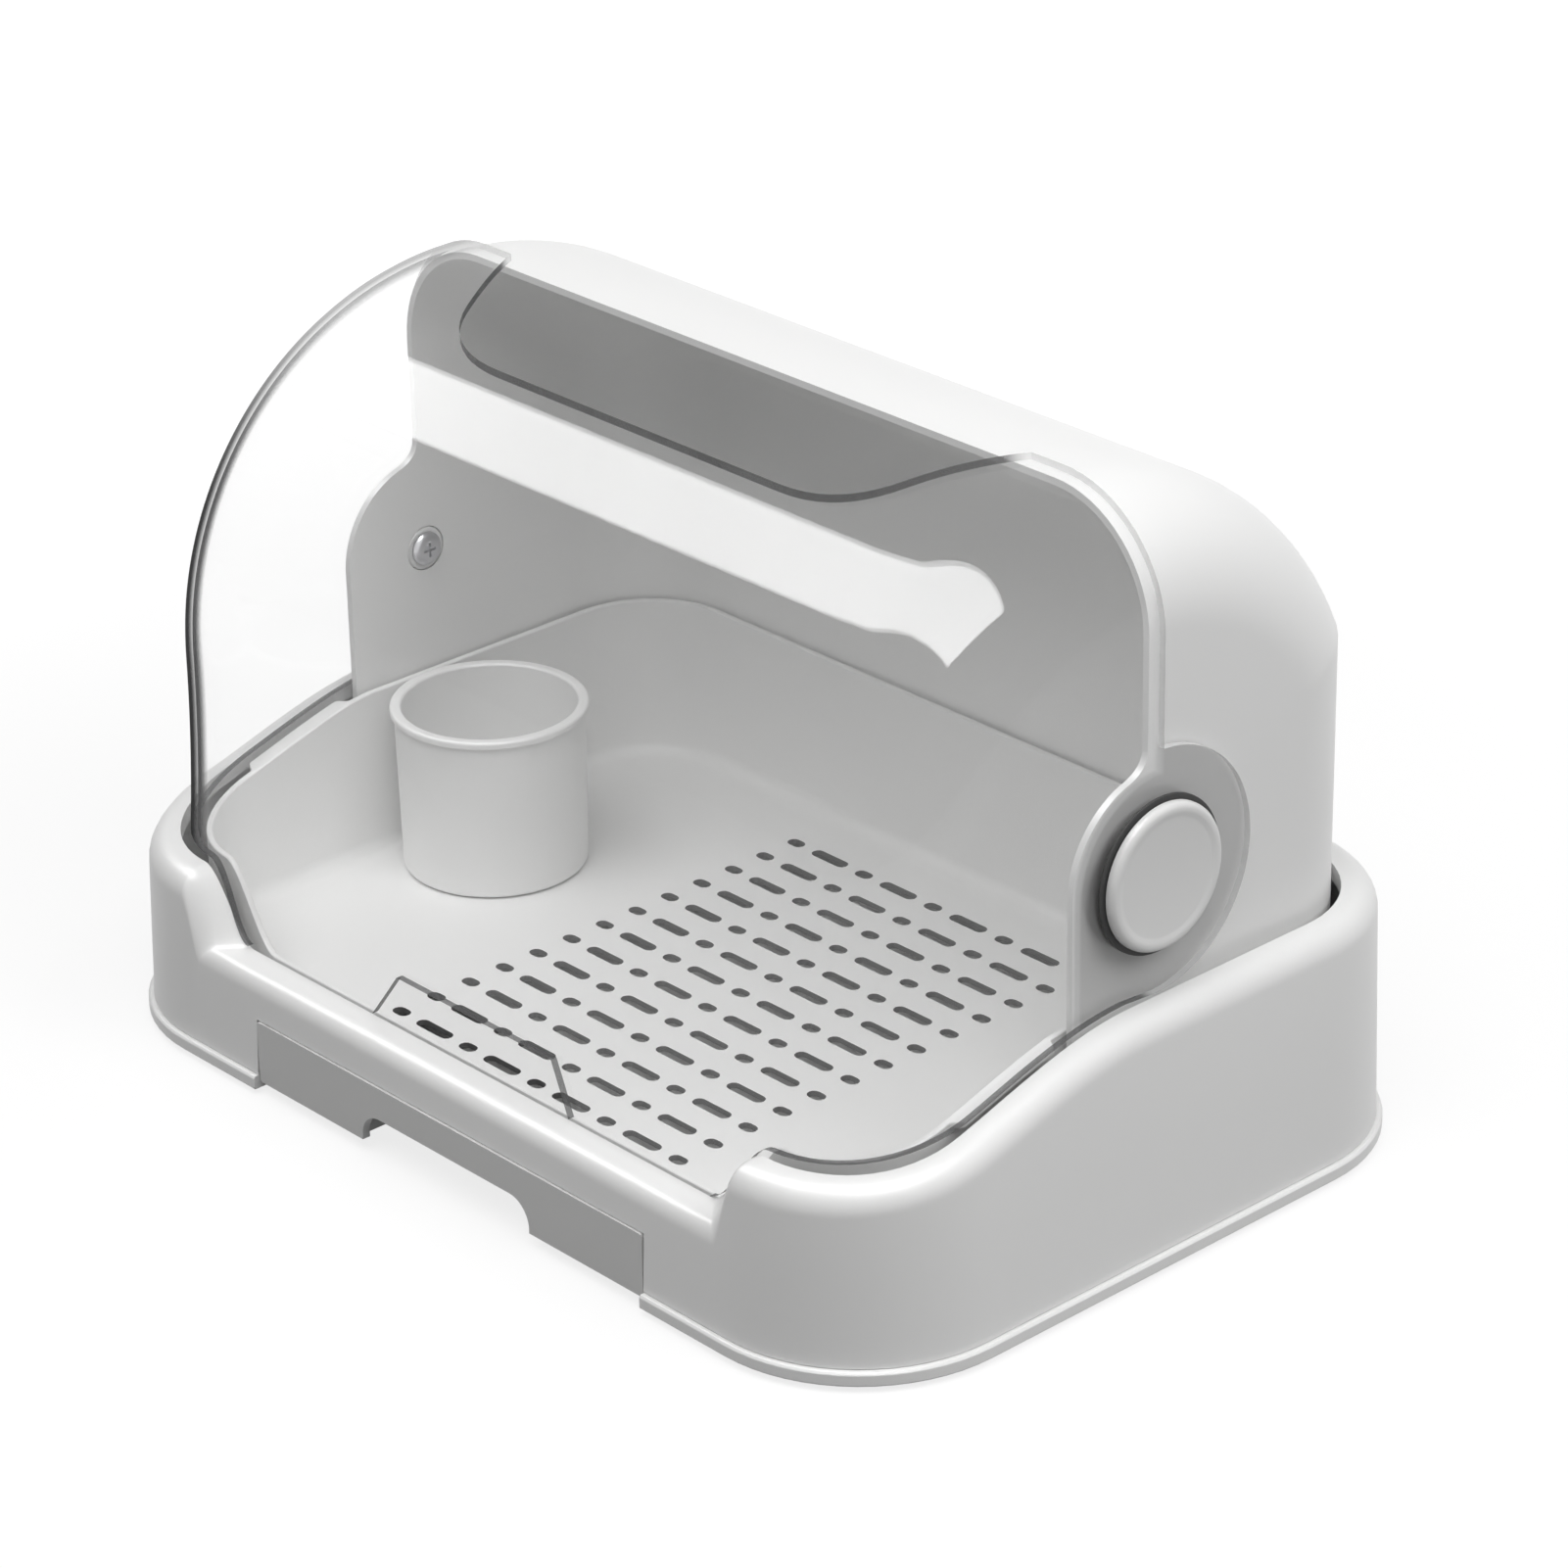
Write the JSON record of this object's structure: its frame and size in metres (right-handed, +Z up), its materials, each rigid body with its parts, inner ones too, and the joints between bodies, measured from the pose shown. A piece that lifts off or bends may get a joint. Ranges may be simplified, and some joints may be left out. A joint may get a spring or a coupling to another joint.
{
  "type": "baby bottle drying rack",
  "caption": "Countertop drying rack for feeding bottles: slotted tray in a low base, pull-out drip drawer, rear hood and a clear visor that swings back over it",
  "frame": {"origin": "on the table, below the middle of the base", "axes": "+X to the right along the width, +Y to the back, +Z up"},
  "size_m": [0.384, 0.267, 0.25],
  "materials": {
    "shell": "white, softly glossy",
    "tray": "white, satin",
    "drawer": "light grey, satin",
    "clear": "clear, polished",
    "knob": "white, softly glossy",
    "rubber": "dark, matte",
    "steel": "plated"
  },
  "bodies": {
    "base": {"base_housing": "shell", "shelf_frame": "shell", "bottom_plate": "shell", "foot_front_left": "rubber", "foot_front_right": "rubber", "foot_rear_left": "rubber", "foot_rear_right": "rubber", "plate_screw_1": "steel", "plate_screw_2": "steel", "plate_screw_3": "steel", "plate_screw_4": "steel", "plate_screw_5": "steel", "plate_screw_6": "steel", "hood_shell": "shell", "pivot_washer_right": "rubber", "pivot_washer_left": "rubber", "pivot_knob_right": "knob", "pivot_knob_left": "knob", "pivot_screw_right": "steel", "pivot_screw_left": "steel"},
    "visor": {"visor": "clear"},
    "drawer": {"drip_drawer": "drawer"},
    "tray": {"drain_tray": "tray"},
    "cup": {"drain_cup": "tray"}
  },
  "joints": [
    {"name": "visor_swing", "type": "hinge", "parent": "base", "child": "visor", "pos_m": [0, 0.0082, 0.13], "axis": [-1, 0, 0], "range_deg": [0, 100]},
    {"name": "drawer_slide", "type": "slide", "parent": "base", "child": "drawer", "axis": [0, -1, 0], "range_m": [0, 0.17]},
    {"name": "tray_lift", "type": "slide", "parent": "base", "child": "tray", "axis": [0, 0, 1], "range_m": [0, 0.03]},
    {"name": "cup_lift", "type": "slide", "parent": "tray", "child": "cup", "axis": [0, 0, 1], "range_m": [0, 0.08]}
  ]
}
